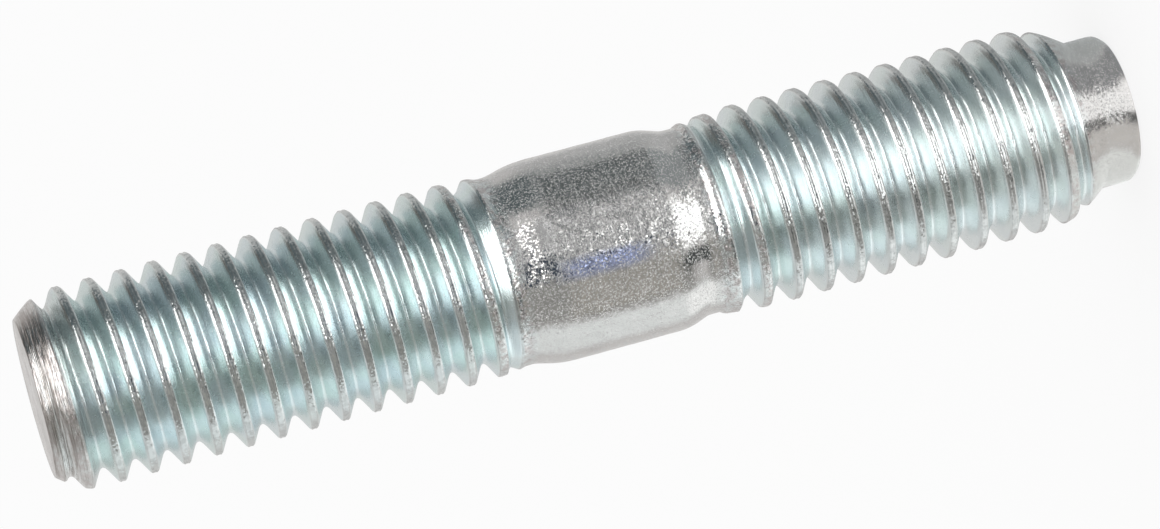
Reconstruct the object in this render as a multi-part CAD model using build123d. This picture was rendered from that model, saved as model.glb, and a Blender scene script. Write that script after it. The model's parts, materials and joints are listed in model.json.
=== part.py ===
from build123d import *

import os
from math import ceil, floor, radians, tan

# Cylinder head stud, M8 x 1.25: one steel blank, turned, thread-rolled and zinc plated.
#
# It stands on its dog point, the end that screws into the cylinder block. The origin is at
# the centre of that end's face, and +Z runs up the axis to the nut end. From the bottom:
# dog point, metal-end thread, rolling neck, plain body, rolling neck, nut-end thread.
#
# The blank is one revolved section. Both right-hand threads are helical grooves cut in it,
# one turn after another, and each climbs out of the metal where it runs into its neck.
# Pitch, lead, crest flats and outside diameters are the real ones. The grooves are V's cut
# to half depth, which keeps the solid light: the rest of the depth is left to the finish.

os.makedirs("parts", exist_ok=True)

# Heights up the axis from the dog point's end face (millimetres)
overall_length = 43.5
dog_length = 1.45
metal_shank_top = 15.6
lower_neck_bottom, lower_neck_top = 17.10, 17.60
body_bottom, body_top = 18.65, 24.0
upper_neck_bottom, upper_neck_top = 24.95, 25.30
nut_shank_bottom = 26.3

# Radii about the axis
dog_radius = 2.93
metal_crest_radius = 3.97
lower_neck_radius = 3.65
body_radius = 3.955
upper_neck_radius = 3.69
nut_crest_radius = 3.90
nut_end_radius = 3.08

# Dog point edge and chamfers, whose angles are taken from the axis
dog_edge = 0.18
metal_chamfer_angle = 38
nut_chamfer_angle = 40

# Thread: M8 coarse pitch, the flat left on its crests, and the depth cut here
thread_pitch = 1.25
crest_flat = 0.23
groove_depth = 0.35

# Height of one crest of each thread on the +X side
metal_crest_height = 1.126
nut_crest_height = 0.453

# Where each groove starts to climb out towards its neck, and how steeply
metal_runout_start = 15.95
nut_runout_start = 26.45
runout_angle = 22

# How far a cutting shape reaches past the metal that it cuts
overcut = 0.10


def blank():
    """The turned blank: dog point, two chamfered shanks, and a plain body between necks."""
    metal_chamfer = (metal_crest_radius - dog_radius) / tan(radians(metal_chamfer_angle))
    nut_chamfer = (nut_crest_radius - nut_end_radius) / tan(radians(nut_chamfer_angle))
    with BuildSketch(Plane.XZ) as section:
        Polygon(
            (0, 0),
            (dog_radius - dog_edge, 0),
            (dog_radius, dog_edge),
            (dog_radius, dog_length),
            (metal_crest_radius, dog_length + metal_chamfer),
            (metal_crest_radius, metal_shank_top),
            (lower_neck_radius, lower_neck_bottom),
            (lower_neck_radius, lower_neck_top),
            (body_radius, body_bottom),
            (body_radius, body_top),
            (upper_neck_radius, upper_neck_bottom),
            (upper_neck_radius, upper_neck_top),
            (nut_crest_radius, nut_shank_bottom),
            (nut_crest_radius, overall_length - nut_chamfer),
            (nut_end_radius, overall_length),
            (0, overall_length),
            align=None,
        )
    return revolve(section.sketch, Axis.Z)


def groove_turn(crest_radius, height):
    """One turn of a thread groove: a V swept up a right-hand helix from the +X side."""
    half_width = (thread_pitch - crest_flat) / 2 * (1 + overcut / groove_depth)
    corners = [
        (crest_radius - groove_depth, height),
        (crest_radius + overcut, height - half_width),
        (crest_radius + overcut, height + half_width),
    ]
    rails = [
        Edge.make_helix(thread_pitch, thread_pitch, radius, center=(0, 0, corner_height))
        for radius, corner_height in corners
    ]
    walls = [
        Face.make_surface_from_curves(rails[side - 1], rails[side])
        for side in range(len(rails))
    ]
    ends = [
        Face(Wire.make_polygon([(radius, 0, level + rise) for radius, level in corners]))
        for rise in (0, thread_pitch)
    ]
    return Solid(Shell(walls + ends))


def runout_core(crest_radius, start, direction):
    """The metal that a groove can't reach past its runout: a cone that opens to the neck."""
    root_radius = crest_radius - groove_depth
    rise = groove_depth + 2 * overcut
    end = start + direction * rise / tan(radians(runout_angle))
    with BuildSketch(Plane.XZ) as section:
        Polygon(
            (0, start),
            (root_radius, start),
            (root_radius + rise, end),
            (root_radius + rise, end + direction * 2 * thread_pitch),
            (0, end + direction * 2 * thread_pitch),
            align=None,
        )
    return revolve(section.sketch, Axis.Z)


def cut_thread(body, crest_radius, crest_height, bottom, top, runout):
    """Cut one thread's groove between two heights, except where its runout keeps metal."""
    groove_height = crest_height + thread_pitch / 2
    first = floor((bottom - groove_height) / thread_pitch)
    last = ceil((top - groove_height) / thread_pitch)
    for turn in range(first, last):
        body -= groove_turn(crest_radius, groove_height + turn * thread_pitch) - runout
    return body


def stud():
    """The finished stud: the blank with both threads cut."""
    metal_runout = runout_core(metal_crest_radius, metal_runout_start, 1)
    nut_runout = runout_core(nut_crest_radius, nut_runout_start, -1)
    body = blank()
    body = cut_thread(
        body, metal_crest_radius, metal_crest_height, dog_length, metal_shank_top, metal_runout
    )
    return cut_thread(
        body, nut_crest_radius, nut_crest_height, upper_neck_top, overall_length, nut_runout
    )


part = stud()
export_step(part, "parts/stud.step")
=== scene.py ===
# %% [markdown]
# # A cylinder head stud
# The stud is one piece of steel: a dog point, a thread for the crankcase, a plain body
# between two rolling necks, and a thread for the nut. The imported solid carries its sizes.
# This lesson gives the threads their full rolled form with Geometry Nodes, gives the steel
# its zinc plate, and lights it.
# Shapes are worked out in millimetres, and turned into metres where they are placed.

# %% Load the frame
import json
from math import cos, pi, radians, sin, tan

import bmesh
import bpy
from mathutils import Matrix, Vector


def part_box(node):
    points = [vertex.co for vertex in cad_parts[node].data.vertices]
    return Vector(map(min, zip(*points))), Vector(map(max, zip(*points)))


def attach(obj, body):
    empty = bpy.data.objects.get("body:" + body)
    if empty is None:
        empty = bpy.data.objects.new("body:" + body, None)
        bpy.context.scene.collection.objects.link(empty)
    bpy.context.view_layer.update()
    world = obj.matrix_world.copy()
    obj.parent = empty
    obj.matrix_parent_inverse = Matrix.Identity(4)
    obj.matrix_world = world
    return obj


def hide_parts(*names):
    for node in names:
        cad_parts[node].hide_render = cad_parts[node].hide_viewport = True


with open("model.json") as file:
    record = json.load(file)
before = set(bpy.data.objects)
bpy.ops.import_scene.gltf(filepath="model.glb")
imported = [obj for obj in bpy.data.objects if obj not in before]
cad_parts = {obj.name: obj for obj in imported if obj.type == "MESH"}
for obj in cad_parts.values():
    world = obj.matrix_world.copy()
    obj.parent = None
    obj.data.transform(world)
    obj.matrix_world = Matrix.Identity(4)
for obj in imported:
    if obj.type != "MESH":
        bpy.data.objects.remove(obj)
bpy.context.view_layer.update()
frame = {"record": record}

MM = 0.001
low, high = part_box("stud")
mounts = {row["name"]: row for row in frame["record"]["mounts"]}
print("overall length", round((high.z - low.z) / MM, 2), "mm")

# %% [markdown]
# ## Numbers that behave like sums
# A node tree is arithmetic drawn with wires. This small class wraps one socket, so that
# `1 - a * b` adds the Math nodes for us. Its `node` method adds any other node. The same
# class serves the shape and the finish, because both kinds of tree use the same nodes.


# %% A socket written as a number
class Term:
    """One output socket of a node tree, used like a number in an expression."""

    def __init__(self, tree, socket=None):
        self.tree = tree
        self.socket = socket

    def node(self, kind, settings=None, values=None, output=0):
        """Adds a node: its settings first, then the values or links of its sockets."""
        node = self.tree.nodes.new(kind)
        for name, setting in (settings or {}).items():
            setattr(node, name, setting)
        for key, value in (values or {}).items():
            for item in value if isinstance(value, list) else [value]:
                if isinstance(item, Term):
                    self.tree.links.new(item.socket, node.inputs[key])
                else:
                    node.inputs[key].default_value = item
        return Term(self.tree, node.outputs[output] if node.outputs else None)

    def out(self, name):
        """Another output of the node that this term comes from."""
        return Term(self.tree, self.socket.node.outputs[name])

    def math(self, operation, *others):
        """A Math node with this term first."""
        values = dict(enumerate((self,) + others))
        return self.node("ShaderNodeMath", {"operation": operation}, values)

    def vector_math(self, operation, values=None):
        """A Vector Math node with this term first."""
        values = {0: self, **(values or {})}
        return self.node("ShaderNodeVectorMath", {"operation": operation}, values)

    def __add__(self, other):
        return self.math("ADD", other)

    def __sub__(self, other):
        return self.math("SUBTRACT", other)

    def __mul__(self, other):
        return self.math("MULTIPLY", other)

    def __truediv__(self, other):
        return self.math("DIVIDE", other)

    def __rsub__(self, other):
        return self.node("ShaderNodeMath", {"operation": "SUBTRACT"}, {0: other, 1: self})

    __radd__ = __add__
    __rmul__ = __mul__


print("Term stands for one socket")

# %% [markdown]
# ## The sizes, as inputs of the tree
# Every size that a maker would state is a named input of the tree, in millimetres, so the
# same tree could grow another stud. The dog point's radius and the radii of the two threads
# come from the mounts in the record.

# %% Named sizes
stud_sizes = {
    "Overall length": (high.z - low.z) / MM,
    "Dog radius": mounts["dog_point"]["dims"]["r_mm"],
    "Metal thread radius": mounts["metal_end_thread"]["dims"]["r_mm"],
    "Nut thread radius": mounts["nut_end_thread"]["dims"]["r_mm"],
    "Body radius": 3.958,
    "Lower neck radius": 3.655,
    "Upper neck radius": 3.69,
    "Nut end radius": 3.08,
    "Pitch": 1.25,
    "Thread depth": 0.72,
    "Crest flat": 0.235,
    "Wear": 1.0,
    "Wear seed": 7.0,
}
skin_tree = bpy.data.node_groups.new("stud_skin", "GeometryNodeTree")
skin_tree.interface.new_socket("Geometry", in_out="OUTPUT", socket_type="NodeSocketGeometry")
size_sockets = {
    name: skin_tree.interface.new_socket(name, in_out="INPUT", socket_type="NodeSocketFloat")
    for name in stud_sizes
}
skin = Term(skin_tree)
group_input = skin.node("NodeGroupInput")
size = {name: group_input.out(name) for name in stud_sizes}
print("named sizes:", ", ".join(stud_sizes))

# %% [markdown]
# ## Straight sides and soft corners
# The outline of a turned blank is a run of straight sides with soft corners. A straight
# side is a radius that changes steadily with the height. The soft corner between two sides
# is a smooth minimum where the corner stands out, or a smooth maximum in a hollow. A mesh
# that is bevelled afterwards could do the same, but here the corners follow the sizes.


# %% Sides and corners
def side(height, at, radius, gradient):
    """A straight side of the outline: its radius at one height, and its change per mm."""
    return (height - at) * gradient + radius


def outer_corner(first, second, blend):
    """Two sides that meet in a corner that stands out, rounded over a blend."""
    return first.math("SMOOTH_MIN", second, blend)


def inner_corner(first, second, blend):
    """Two sides that meet in a hollow, filled over a blend."""
    return first.math("SMOOTH_MAX", second, blend)


print("two sides meet in an outer corner or an inner corner")

# %% [markdown]
# ## The outline of the blank
# From the dog point up, the blank widens by a chamfer to the metal thread, drops into a
# neck, swells to the body, drops into the second neck, and carries the nut thread to the
# chamfer of the nut end. The dies press metal out of the necks, so the body's shoulders
# are gentle slopes and the threads taper a little where they meet a neck.

# %% Outline of the blank
dog_length, dog_edge = 1.42, 0.22
metal_chamfer, nut_chamfer = radians(38), radians(40)
lower_neck_height, upper_neck_height = 17.6, 25.05


def lower_neck(height):
    """The thread's taper, the neck's own radius, and the rise to the body."""
    taper = side(height, at=15.35, radius=size["Metal thread radius"], gradient=-0.115)
    drop = side(height, at=17.10, radius=3.765, gradient=-0.80)
    rise = side(height, at=18.10, radius=3.76, gradient=0.36)
    taper = outer_corner(taper, drop, blend=0.10)
    hollow = inner_corner(taper, rise, blend=0.06)
    return inner_corner(hollow, size["Lower neck radius"], blend=0.08)


def upper_neck(height):
    """The fall from the body, the neck's own radius, and the rise to the nut thread."""
    fall = side(height, at=24.14, radius=3.85, gradient=-0.25)
    rise = side(height, at=25.20, radius=3.69, gradient=0.40)
    taper = side(height, at=25.52, radius=3.80, gradient=0.08)
    rise = outer_corner(rise, taper, blend=0.06)
    hollow = inner_corner(fall, rise, blend=0.06)
    return inner_corner(hollow, size["Upper neck radius"], blend=0.06)


def outline(height):
    """Outer radius of the blank at a height, from the dog point to the nut end."""
    metal, body, nut = size["Metal thread radius"], size["Body radius"], size["Nut thread radius"]
    above_lower = height.math("GREATER_THAN", lower_neck_height)
    above_upper = height.math("GREATER_THAN", upper_neck_height)
    shank = metal + above_lower * (body - metal) + above_upper * (nut - body)

    start = side(height, at=dog_length, radius=size["Dog radius"], gradient=tan(metal_chamfer))
    end = (size["Overall length"] - height) * tan(nut_chamfer) + size["Nut end radius"]
    shank = outer_corner(shank, start, blend=1.35)
    shank = outer_corner(shank, lower_neck(height), blend=0.20)
    shank = outer_corner(shank, upper_neck(height), blend=0.20)
    shank = outer_corner(shank, end, blend=0.85)

    dog = side(height, at=dog_edge, radius=size["Dog radius"], gradient=1.0)
    dog = outer_corner(dog, size["Dog radius"], blend=0.20)
    return inner_corner(shank, dog, blend=0.07)


print("dog point", dog_length, "mm, necks at", lower_neck_height, "and", upper_neck_height, "mm")

# %% [markdown]
# ## The rolled thread
# A thread is one ridge that climbs a pitch each turn. How far a point is from the nearest
# crest, measured along the axis, says whether it lies on the crest, on a flank or in the
# root. `PINGPONG` folds the height, less the climb so far, into that distance.
# Flanks lean 30 degrees. Rolling leaves a round root and soft crest edges, so each corner
# is again an outer or an inner one. The metal closes over the crest from both flanks, and
# leaves a fine seam there. At a neck the dies lift out: the root climbs and the ridge fades.

# %% Section of a thread
# a ridge starts at "crest", and the dies lift out at "fades", on the way "towards" the neck
threads = {
    "metal": {"radius": "Metal thread radius", "crest": 1.126, "fades": 16.06, "towards": 1},
    "nut": {"radius": "Nut thread radius", "crest": 0.453, "fades": 26.35, "towards": -1},
}
flank_lean = radians(30)
crest_blend, root_blend = 0.11, 0.24
seam_scale, seam_depth = 0.075, 0.03
runout_gradient, runout_blend = 0.60, 0.25


def threaded(height, turn, thread):
    """Radius of the skin where a thread is rolled into the outline."""
    crest_radius = size[thread["radius"]]
    climb = height - thread["crest"] - turn * size["Pitch"]
    from_crest = climb.math("PINGPONG", size["Pitch"] / 2)
    flank = crest_radius - (from_crest - size["Crest flat"] / 2) / tan(flank_lean)
    ridge = outer_corner(flank, crest_radius, crest_blend)

    in_seam = from_crest.math("LESS_THAN", seam_scale * pi / 2)
    seam = (from_crest / seam_scale).math("COSINE") * in_seam
    ridge = ridge - seam.math("MAXIMUM", 0.0) * seam_depth

    lift = (height - thread["fades"]) * (runout_gradient * thread["towards"])
    root = crest_radius - size["Thread depth"] + inner_corner(lift, 0.0, runout_blend)
    return inner_corner(ridge, root, root_blend)


print("threads:", ", ".join(threads))

# %% [markdown]
# ## Zones of the skin
# Each zone starts as a flat grid: rows run up the stud, and columns run round it. In a
# threaded zone every row also climbs one pitch in one turn. The rows then follow the ridge
# and its edges stay clean, and the last column meets the first one a ridge higher.
# Rows are crowded at crest and root, where the section turns. Rows past the end of a zone
# are held at its end, and merging by distance removes them. One spun profile could make
# the plain parts, but not a ridge that climbs.

# %% A flat grid
columns, rows_per_pitch = 144, 18


def grid_rows(rows):
    """A flat grid, each point's row number, and its place round the stud from 0 to 1."""
    grid = skin.node(
        "GeometryNodeMeshGrid",
        values={"Size X": rows - 1, "Size Y": 1, "Vertices X": rows, "Vertices Y": columns + 1},
    )
    place = skin.node("ShaderNodeSeparateXYZ", values={0: skin.node("GeometryNodeInputPosition")})
    return grid, place.out("X") + (rows - 1) / 2, place.out("Y") + 0.5


print("columns round the stud:", columns, "and rows to the pitch:", rows_per_pitch)

# %% [markdown]
# ## Wear
# Studs are plated in a barrel and handled in boxes, so no surface is quite true. A noise in
# millimetres, less its middle value, moves the skin in or out by about a hundredth.
# Sculpting could do the same, but here another seed gives another stud.

# %% Wear of the surface
wear_patches_per_mm, wear_height = 1.6, 0.035


def wear(point):
    """Small hollows and swells that handling leaves in the surface, in mm."""
    swell = skin.node(
        "ShaderNodeTexNoise",
        {"noise_dimensions": "4D"},
        {"Vector": point, "W": size["Wear seed"], "Scale": wear_patches_per_mm, "Detail": 2.0},
    )
    return (swell - 0.5) * wear_height


print("wear patches to the millimetre:", wear_patches_per_mm)

# %% [markdown]
# ## Round the axis
# A flat grid bends into a tube: a point's place across the grid becomes an angle, and its
# radius and height come from the outline and the thread. Each point keeps how deep it lies
# below the outside of the blank, as an attribute, because the finish is different there.

# %% A grid wrapped round the axis
depth_attribute = "thread_depth"


def wrapped(grid, turn, radius, height, depth):
    """The grid at its place in metres, which keeps how deep in the thread each point is."""
    kept = skin.node(
        "GeometryNodeStoreNamedAttribute",
        {"data_type": "FLOAT", "domain": "POINT"},
        {"Geometry": grid, "Name": depth_attribute, "Value": depth},
    )
    angle = turn * (2 * pi)
    across, along = angle.math("COSINE"), angle.math("SINE")
    smooth = {0: across * radius, 1: along * radius, 2: height}
    worn = radius + wear(skin.node("ShaderNodeCombineXYZ", values=smooth)) * size["Wear"]
    placed = {0: across * worn * MM, 1: along * worn * MM, 2: height * MM}
    place = skin.node("ShaderNodeCombineXYZ", values=placed)
    return skin.node("GeometryNodeSetPosition", values={"Geometry": kept, "Position": place})


print("each point keeps its", depth_attribute)

# %% [markdown]
# ## Three kinds of zone
# A threaded zone leans its grid by one pitch in one turn. A plain zone is a straight tube
# whose radius follows the outline. An end face is a disc, with rings that crowd at the rim,
# where the chamfer starts.

# %% Threaded, plain and end zones
crowding = 0.55
thread_start_blend = 0.03


def threaded_zone(bottom, top, thread):
    """The skin of one threaded length, between two heights."""
    pitch = stud_sizes["Pitch"]
    first = int((bottom - thread["crest"]) // pitch) - 1
    last = int((top - thread["crest"]) // pitch) + 1
    grid, row, turn = grid_rows((last - first) * rows_per_pitch + 1)
    ridge = row / rows_per_pitch + first
    crowded = ridge - (ridge * (4 * pi)).math("SINE") * (crowding / (4 * pi))
    height = (crowded + turn) * size["Pitch"] + thread["crest"]
    height = height.math("MAXIMUM", bottom).math("MINIMUM", top)
    blank = outline(height)
    radius = outer_corner(threaded(height, turn, thread), blank, thread_start_blend)
    return wrapped(grid, turn, radius, height, blank - radius)


def plain_zone(bottom, top, rows):
    """The skin of one plain turned length, between two heights."""
    grid, row, turn = grid_rows(rows)
    height = row * ((top - bottom) / (rows - 1)) + bottom
    return wrapped(grid, turn, outline(height), height, 0.0)


def end_face(height, rows):
    """A flat end face, closed at its centre."""
    grid, row, turn = grid_rows(rows)
    level = row * 0.0 + height
    radius = (row / (rows - 1)).math("SQRT") * outline(level)
    return wrapped(grid, turn, radius, level, 0.0)


print("rows crowd by", crowding, "at each crest and root")

# %% [markdown]
# ## The whole skin
# The zones meet on shared circles, so joining them and merging their doubles gives one
# skin, with no seam where a thread runs into the plain body. Its material is set here too.

# %% Join the zones
length = stud_sizes["Overall length"]
metal_thread_bottom, metal_thread_top, nut_thread_bottom = 1.30, 17.45, 25.0
end_rows, dog_rows, body_rows = 7, 16, 76
doubles_within = 0.002 * MM
zones = [
    end_face(0.0, end_rows),
    plain_zone(0.0, metal_thread_bottom, dog_rows),
    threaded_zone(metal_thread_bottom, metal_thread_top, threads["metal"]),
    plain_zone(metal_thread_top, nut_thread_bottom, body_rows),
    threaded_zone(nut_thread_bottom, length, threads["nut"]),
    end_face(length, end_rows),
]
zinc_plate = bpy.data.materials.new("zinc_plate")
joined = skin.node("GeometryNodeJoinGeometry", values={0: zones})
merging = {"Geometry": joined, "Distance": doubles_within}
merged = skin.node("GeometryNodeMergeByDistance", values=merging)
smooth = skin.node("GeometryNodeSetShadeSmooth", values={"Geometry": merged})
real = skin.node("GeometryNodeRealizeInstances", values={"Geometry": smooth})
plated = skin.node("GeometryNodeSetMaterial", values={"Geometry": real, "Material": zinc_plate})
skin.node("NodeGroupOutput", values={0: plated})
print("zones:", len(zones), "in", len(skin_tree.nodes), "nodes")

# %% [markdown]
# ## From a tree to a mesh
# A tree does nothing until the modifier of an object runs it. The modifier gets its sizes
# through the identifiers of its inputs, the object is evaluated, and what comes out is
# copied to a plain mesh, so that no modifier is left on the finished piece.

# %% Grow the skin
grower = bpy.data.objects.new("skin_grower", bpy.data.meshes.new("skin_grower"))
bpy.context.collection.objects.link(grower)
nodes_modifier = grower.modifiers.new("stud_skin", "NODES")
nodes_modifier.node_group = skin_tree
for name, value in stud_sizes.items():
    nodes_modifier[size_sockets[name].identifier] = value

bpy.context.view_layer.update()
grown = grower.evaluated_get(bpy.context.evaluated_depsgraph_get())
stud_skin = bpy.data.objects.new("stud_skin", bpy.data.meshes.new_from_object(grown))
stud_skin.data.name = "stud_skin"
bpy.context.collection.objects.link(stud_skin)
bpy.data.objects.remove(grower)
print("skin:", len(stud_skin.data.vertices), "points,", len(stud_skin.data.polygons), "faces")

# %% [markdown]
# ## A closed skin that faces outwards
# The innermost ring of each end face shrinks to its pole, so the face closes in one point.
# Then every edge should join two faces. The signed volume tells which way they look: it is
# positive when the faces of a closed mesh look outwards, and at 7.85 g to the cubic
# centimetre it also gives the weight of the real stud.

# %% Check the skin
pole_reach = 0.01 * MM
no_length = 0.0001 * MM
steel_grams_per_mm3 = 0.00785

checked = bmesh.new()
checked.from_mesh(stud_skin.data)
for end in (0.0, length * MM):
    pole = Vector((0, 0, end))
    middle = [point for point in checked.verts if (point.co - pole).length < pole_reach]
    bmesh.ops.pointmerge(checked, verts=middle, merge_co=pole)
bmesh.ops.dissolve_degenerate(checked, dist=no_length, edges=checked.edges)
bmesh.ops.recalc_face_normals(checked, faces=checked.faces)
open_edges = sum(1 for edge in checked.edges if len(edge.link_faces) != 2)
volume = checked.calc_volume() / MM**3
print("open edges", open_edges, "volume", round(volume, 1), "mm3")
print("weight", round(volume * steel_grams_per_mm3, 1), "g")
checked.to_mesh(stud_skin.data)
checked.free()

# %% [markdown]
# ## Zinc plate
# Zinc is a pale grey metal under a passivation film that is thinner than a soap bubble.
# Every pattern of the plate is made of noise in the stud's own coordinates, in millimetres,
# so it stays on the metal from every side. An image could give the same look, but it would
# need a seam and would blur close by.

# %% Patterns of the plate
zinc_plate.use_nodes = True
zinc_plate.node_tree.nodes.clear()
zinc = Term(zinc_plate.node_tree)
at = zinc.node("ShaderNodeTexCoord", output="Object")
at_mm = at.vector_math("SCALE", {"Scale": 1 / MM})


def grain(scale, detail=2.0, roughness=0.5, at_place=at_mm):
    """A cloudy pattern from 0 to 1, with so many patches to the millimetre."""
    values = {"Vector": at_place, "Scale": scale, "Detail": detail, "Roughness": roughness}
    return zinc.node("ShaderNodeTexNoise", values=values)


def step_up(term, start, end):
    """0 below start, 1 above end, and a soft step between them."""
    values = {"Value": term, "From Min": start, "From Max": end}
    return term.node("ShaderNodeMapRange", {"interpolation_type": "SMOOTHSTEP"}, values)


def between(term, start, end, edge):
    """1 between start and end, 0 outside, with soft steps."""
    return step_up(term, start - edge, start + edge) * (1 - step_up(term, end - edge, end + edge))


def mix(factor, first, second):
    """First colour where the factor is 0, second where it is 1."""
    settings = {"data_type": "RGBA"}
    return factor.node("ShaderNodeMix", settings, {0: factor, 6: first, 7: second}, output=2)


print("patterns of the plate are worked out at", round(1 / MM), "units to the metre")

# %% [markdown]
# ## Where the finish is
# The finish differs by place. The attribute `thread_depth` that the skin carries is 0 on
# the outside and 0.7 in a root, and the height tells the body, the dog point and the nut
# end apart. Each of these terms is 1 in its own place and 0 elsewhere.

# %% Places on the stud
dog_top, dog_top_fade = 1.9, 0.4
body_bottom, body_top = 17.4, 24.9
bare_end_from, bare_end_full = 41.6, 42.9


def azimuth_of(parts):
    """Degrees round the stud of a separated vector: 0 on the -Y side, and 90 on the +X side."""
    return parts.out("X").math("ARCTAN2", parts.out("Y") * -1) * (180 / pi)


depth = zinc.node("ShaderNodeAttribute", {"attribute_name": depth_attribute}, output="Fac")
place = zinc.node("ShaderNodeSeparateXYZ", values={0: at_mm})
height_mm = place.out("Z")
facing = azimuth_of(place)
body_share = between(height_mm, body_bottom, body_top, edge=0.25)
dog_share = 1 - step_up(height_mm, dog_top, dog_top + dog_top_fade)
plain_share = body_share.math("MAXIMUM", dog_share)
nut_end_share = step_up(height_mm, bare_end_from, bare_end_full)
rolled_share = (1 - plain_share) * (1 - nut_end_share)

thread_share = step_up(depth, 0.02, 0.14)
crest_share = (1 - step_up(depth, 0.002, 0.012)) * (1 - plain_share)
# The lip share marks where a darker line of painted shade goes beside each crest.
lip_painted_shade = between(depth, 0.014, 0.055, edge=0.008) * rolled_share
ridge_share = (1 - step_up(depth, 0.03, 0.08)) * rolled_share
print("dog point to", dog_top, "mm, body from", body_bottom, "to", body_top, "mm")

# %% [markdown]
# ## Colour of the plate
# The film is thickest in the threads, where the liquid drains last, and turns them aqua. It
# shifts between green and blue with its thickness, and is thinner towards the dog point. On
# the body and the dog point the metal is bare and warmer, with pale specks of painted glint.
# The crests are rubbed pinkish grey in patches, with a darker line of painted shade at their
# lips, where the flank turns from the light. The nut end was faced and chamfered on a lathe,
# so tool marks run round it. The small blue patch on the body is a painted reflection of
# something blue.

# %% Colour of the plate
tool_mark_stretch = (0.35, 0.35, 9)
cloud = grain(0.9, 4.0, 0.6)
mottle = step_up(grain(3.0, 3.0, 0.6), 0.40, 0.62)
specks = step_up(grain(13.0, 2.0, 0.6), 0.55, 0.62)
marks = grain(1.2, 3.0, 0.6, at_mm.vector_math("MULTIPLY", {1: tool_mark_stretch}))

bare = mix(cloud, (0.55, 0.54, 0.53, 1), (0.70, 0.69, 0.68, 1))
drained = mix(cloud, (0.74, 0.765, 0.765, 1), (0.84, 0.85, 0.84, 1))
tint = step_up(grain(0.55, 2.0), 0.40, 0.60)
thick_film = mix(tint, (0.62, 0.755, 0.735, 1), (0.63, 0.735, 0.775, 1))
filmed = mix(cloud, thick_film, (0.80, 0.87, 0.875, 1))
film = (0.35 + thread_share * 0.65) * (0.45 + step_up(height_mm, 3.0, 26.0) * 0.55)

colour = mix(film * rolled_share, mix(thread_share, bare, drained), filmed)
# A darker line at the crest lips: painted shade, where the flank turns away from the light.
colour = mix(lip_painted_shade * (0.15 + mottle * 0.35), colour, (0.36, 0.37, 0.37, 1))
colour = mix(crest_share * mottle * 0.6, colour, (0.52, 0.46, 0.45, 1))
streaks = step_up(marks, 0.42, 0.60) * nut_end_share
colour = mix(streaks * 0.8, colour, (0.34, 0.31, 0.29, 1))
# Pale specks on the body and the dog point: painted glints, beside the real sparkle of the
# crystals.
colour = mix(specks * plain_share * 0.15, colour, (0.92, 0.92, 0.93, 1))
# A small blue patch on one band of the body: a painted reflection of something blue.
blue_painted_reflection = between(height_mm, 20.2, 23.3, edge=0.7) * between(facing, -14.0, -4.0, edge=3.5)
colour = mix(blue_painted_reflection * (0.62 - specks * 0.45), colour, (0.30, 0.38, 0.72, 1))
print("colour uses", len(zinc_plate.node_tree.nodes), "nodes so far")

# %% [markdown]
# ## Crystals
# Zinc grows in small crystals, and each one is a flat facet with its own tilt. A facet
# shows a different part of the room from its neighbours, so it sparkles wherever the room
# has a light beside a dark. Each Voronoi cell is one crystal here, and its random colour,
# less a middle grey, is a direction in which its normal leans. A bump of the same cells
# would raise cones instead of facets. Away from one band, where the stud was handled less,
# the crystals of the plain parts are rubbed nearly smooth.

# %% Tilt of the crystals
crystals_per_mm = 15.0
middle_grey = (0.5, 0.5, 0.5)
least_tilt, patch_tilt = 0.08, 0.26
rubbed_tilt, unrubbed_from, unrubbed_to = 0.2, -14.0, 24.0

crystal_values = {"Vector": at_mm, "Scale": crystals_per_mm}
crystals = zinc.node("ShaderNodeTexVoronoi", values=crystal_values, output="Color")
patchy = step_up(grain(1.5, 4.0, 0.65), 0.38, 0.58)
unrubbed = between(facing, unrubbed_from, unrubbed_to, edge=6.0)
unrubbed = rubbed_tilt + unrubbed * (1 - rubbed_tilt)
tilt_size = (least_tilt + patchy * patch_tilt) * (plain_share * unrubbed + ridge_share)
lean = crystals.vector_math("SUBTRACT", {1: middle_grey})
lean = lean.vector_math("SCALE", {"Scale": tilt_size})
straight = zinc.node("ShaderNodeNewGeometry", output="Normal")
tilted = straight.vector_math("ADD", {1: lean}).vector_math("NORMALIZE")
print("crystals to the millimetre:", crystals_per_mm)

# %% [markdown]
# ## Roughness and pits
# Fine pits cover the bright plain parts and the crests. The threads, pressed by the dies,
# are smoother and only finely lined, and under the thick film a reflection is softer.
# Modelled pits would take millions of faces, so this finest relief is a bump.

# %% Roughness, pits and the finished shader
pit_depth = 0.022 * MM
rough = 0.12 + grain(3.0, 3.0) * 0.10 + thread_share * 0.09 - plain_share * 0.05
coarse = (0.05 + plain_share * 0.95 + crest_share * 0.8) * (1 - nut_end_share)
lined = 0.3 + thread_share * 0.6 + nut_end_share * 3.5
relief = specks * 0.9 * coarse + marks * lined
bump_values = {"Height": relief, "Strength": 1.0, "Distance": pit_depth, "Normal": tilted}
bumped = zinc.node("ShaderNodeBump", values=bump_values)
shader = zinc.node(
    "ShaderNodeBsdfPrincipled",
    values={"Base Color": colour, "Metallic": 1.0, "Roughness": rough, "Normal": bumped},
)
zinc.node("ShaderNodeOutputMaterial", values={"Surface": shader})

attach(stud_skin, "root")
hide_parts("stud")
print("zinc plate:", len(zinc_plate.node_tree.nodes), "nodes")

# %% [markdown]
# ## What the metal sees
# Bright metal has hardly a look of its own: it shows what stands round it. In a studio,
# pale sheets and dark cards stand round a bolt, so that its roundness can be read.
# Here each sheet or card is a patch of tone in a range of directions, as the middle of the
# stud sees them, in degrees, and a later patch lies over an earlier one. Real lamps and
# panels could do the same, but they would also light the floor and throw shadows on it.

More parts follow.
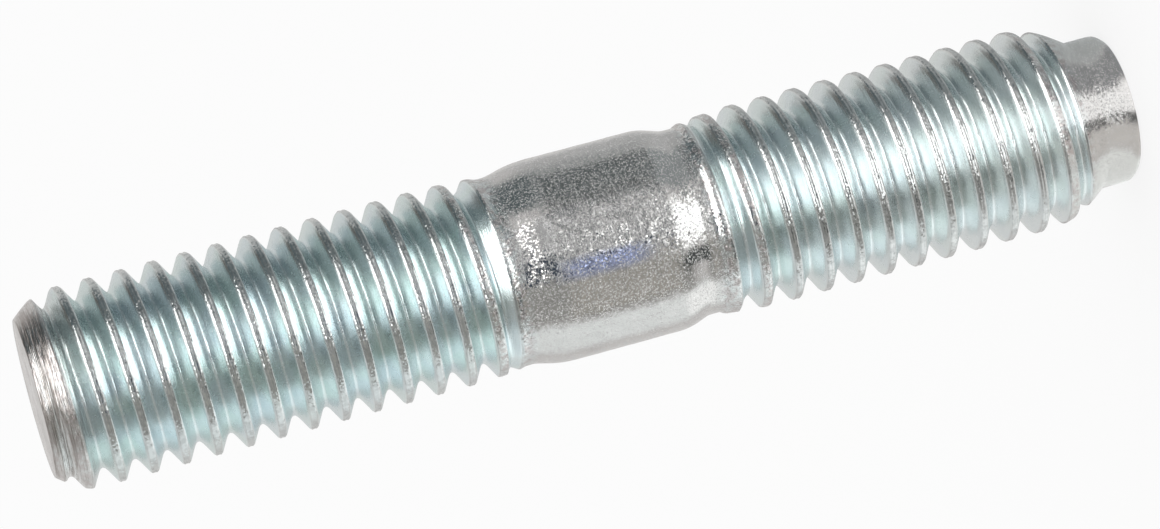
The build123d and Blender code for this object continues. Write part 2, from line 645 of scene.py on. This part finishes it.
# %% Sheets and cards
stud_middle = Vector((0, 0, length / 2 * MM))
room_tone = (0.74, 0.73, 0.72, 1)
sheets = [
    # azimuths,    elevations, edge, tone
    # on the -X side
    ((-128, -80), (-120, 70), 10, (1.03, 1.08, 1.08, 1)),
    ((-150, -84), (34, 75), 8, (0.50, 0.48, 0.46, 1)),
    ((-128, -60), (18, 66), 10, (0.72, 0.74, 0.74, 1)),
    ((-80, -22), (-38, 120), 10, (0.37, 0.37, 0.355, 1)),
    ((-72, -19), (-14, -7), 2, (0.52, 0.50, 0.455, 1)),
    ((-124, -84), (-44, -16), 6, (1.35, 1.38, 1.38, 1)),
    # on the +X side
    ((46, 106), (-62, -5), 8, (0.34, 0.37, 0.38, 1)),
    ((50, 106), (-14, -7), 3, (0.11, 0.12, 0.12, 1)),
    ((106, 150), (-62, -2), 10, (0.55, 0.56, 0.56, 1)),
    ((64, 120), (-8, 65), 10, (0.13, 0.16, 0.17, 1)),
    ((112, 150), (30, 70), 6, (0.12, 0.11, 0.10, 1)),
    # round and above the camera
    ((-4, 48), (-2, 16), 8, (0.52, 0.53, 0.54, 1)),
    ((-22, 62), (24, 68), 8, (3.90, 3.88, 3.86, 1)),
    ((-16, 22), (60, 120), 8, (1.50, 1.50, 1.48, 1)),
    # below the camera
    ((-22, 28), (-64, -22), 12, (2.40, 2.45, 2.45, 1)),
    ((-52, -34), (-54, -20), 4, (0.08, 0.09, 0.09, 1)),
    # close round the foot
    ((62, 180), (-120, -62), 8, (0.50, 0.53, 0.53, 1)),
    ((-130, -50), (-120, -58), 8, (1.04, 1.07, 1.05, 1)),
    ((22, 62), (-120, -60), 6, (0.34, 0.35, 0.36, 1)),
    ((-8, 20), (-120, -60), 5, (1.34, 1.34, 1.34, 1)),
    ((-48, -16), (-120, -60), 7, (0.78, 0.76, 0.73, 1)),
    ((-17, -8), (-120, -60), 4, (0.20, 0.20, 0.20, 1)),
    # near the horizon, and beside the camera
    ((-18, 50), (-16, -10.3), 2, (0.30, 0.31, 0.32, 1)),
    ((-18, 46), (-6.6, -1), 2, (1.25, 1.27, 1.27, 1)),
    ((-18, 52), (-10.6, -7.2), 1, (0.08, 0.09, 0.11, 1)),
    ((-24, 2), (-2, 26), 4, (0.05, 0.07, 0.10, 1)),
]
print("sheets and cards round the stud:", len(sheets))

# %% [markdown]
# ## The tone in a direction
# A direction is an azimuth and an elevation, and each patch is a mask in both with soft
# edges. The same patches colour the world and the mirror image of the floor. Only glossy
# rays see them, so the floor stays plain white in every view.


# %% The room as the metal sees it
def room(direction):
    """The tone that the stud's middle sees in a direction."""
    there = direction.vector_math("NORMALIZE")
    there = there.node("ShaderNodeSeparateXYZ", values={0: there})
    azimuth = azimuth_of(there)
    elevation = there.out("Z").math("ARCSINE") * (180 / pi)
    tone = room_tone
    for azimuths, elevations, edge, sheet_tone in sheets:
        mask = between(azimuth, *azimuths, edge) * between(elevation, *elevations, edge)
        tone = mix(mask, tone, sheet_tone)
    return tone


print("away from the sheets and cards, the room's tone is", room_tone[:3])

# %% [markdown]
# ## Floor
# The floor is matt white paper. Camera rays see it a little brighter than it is lit, which
# keeps it white and still leaves it the stud's shadow. In the metal it is a mirror of the
# sheets and cards: each of its points has the tone that lies behind it.

# %% Floor paper
white = (1, 1, 1, 1)
floor_reach = 3.0
glow_share = 0.8


def stage_plane(name, reach, material):
    """A square floor at the height of the stud's foot."""
    mesh = bpy.data.meshes.new(name)
    corners = [(-reach, -reach, 0), (reach, -reach, 0), (reach, reach, 0), (-reach, reach, 0)]
    mesh.from_pydata(corners, [], [(0, 1, 2, 3)])
    mesh.materials.append(material)
    plane = bpy.data.objects.new(name, mesh)
    bpy.context.collection.objects.link(plane)


floor_paper = bpy.data.materials.new("floor_paper")
floor_paper.use_nodes = True
floor_paper.node_tree.nodes.clear()
paper = Term(floor_paper.node_tree)
path = paper.node("ShaderNodeLightPath")
glossy = path.out("Is Glossy Ray")
seen = path.out("Is Camera Ray") + path.out("Is Transmission Ray")
floor_at = paper.node("ShaderNodeTexCoord", output="Object")
paper_tone = mix(glossy, white, room(floor_at.vector_math("SUBTRACT", {1: stud_middle})))
matt = paper.node("ShaderNodeBsdfDiffuse", values={"Color": (0.86, 0.86, 0.86, 1)})
glow = paper.node("ShaderNodeEmission", values={"Color": paper_tone, "Strength": 1.0})
shown = paper.node("ShaderNodeMixShader", values={0: seen * glow_share + glossy, 1: matt, 2: glow})
paper.node("ShaderNodeOutputMaterial", values={"Surface": shown})
stage_plane("floor", floor_reach, floor_paper)
print("floor reaches", floor_reach, "m each way")

# %% [markdown]
# ## Soft light from all round
# The world is a white tent of even light. Only its reflection in the metal shows the sheets
# and cards, so the light on the floor stays soft and the shadow has no hard edge.

# %% World
world = bpy.data.worlds.new("studio")
bpy.context.scene.world = world
world.use_nodes = True
world.node_tree.nodes.clear()
sky = Term(world.node_tree)
glossy = sky.node("ShaderNodeLightPath", output="Is Glossy Ray")
sky_tone = mix(glossy, white, room(sky.node("ShaderNodeTexCoord", output="Generated")))
background = sky.node("ShaderNodeBackground", values={"Color": sky_tone, "Strength": 1.0})
sky.node("ShaderNodeOutputWorld", values={"Surface": background})
print("world:", len(world.node_tree.nodes), "nodes")

# %% [markdown]
# ## Camera
# A long lens looks a little down on the standing stud and is turned on its side, so the
# stud lies across the picture with its dog point up at the right. The last step turns the
# camera by the small angle that brings a point of the axis to its place in the picture.
# That place is in millimetres and in the camera's own axes, where the picture is as wide as
# the sensor and lies one focal length ahead.

# %% Camera
camera = bpy.data.objects.new("camera", bpy.data.cameras.new("camera"))
camera.data.sensor_width = 36
camera.data.lens = 156.73
camera.data.clip_start = 0.01
elevation, roll = radians(10.024), radians(15.104)
stand = Vector((0, -190.60, 54.96)) * MM
axis_point = Vector((0, 0, 21.2713)) * MM
picture_place = Vector((0.5136, 0.5453, -camera.data.lens))

right = Vector((1, 0, 0))
up = Vector((0, sin(elevation), cos(elevation)))
forward = Vector((0, cos(elevation), -sin(elevation)))
image_right = -cos(roll) * up - sin(roll) * right
image_up = cos(roll) * right - sin(roll) * up
turned = Matrix((image_right, image_up, -forward)).transposed()
wanted = (turned @ picture_place).normalized()
turned = wanted.rotation_difference((axis_point - stand).normalized()).to_matrix() @ turned
camera.matrix_world = Matrix.Translation(stand) @ turned.to_4x4()
bpy.context.collection.objects.link(camera)
bpy.context.scene.camera = camera
bpy.context.scene.view_settings.view_transform = "Standard"
print("camera", round(stand.length / MM), "mm from the foot, lens", round(camera.data.lens), "mm")
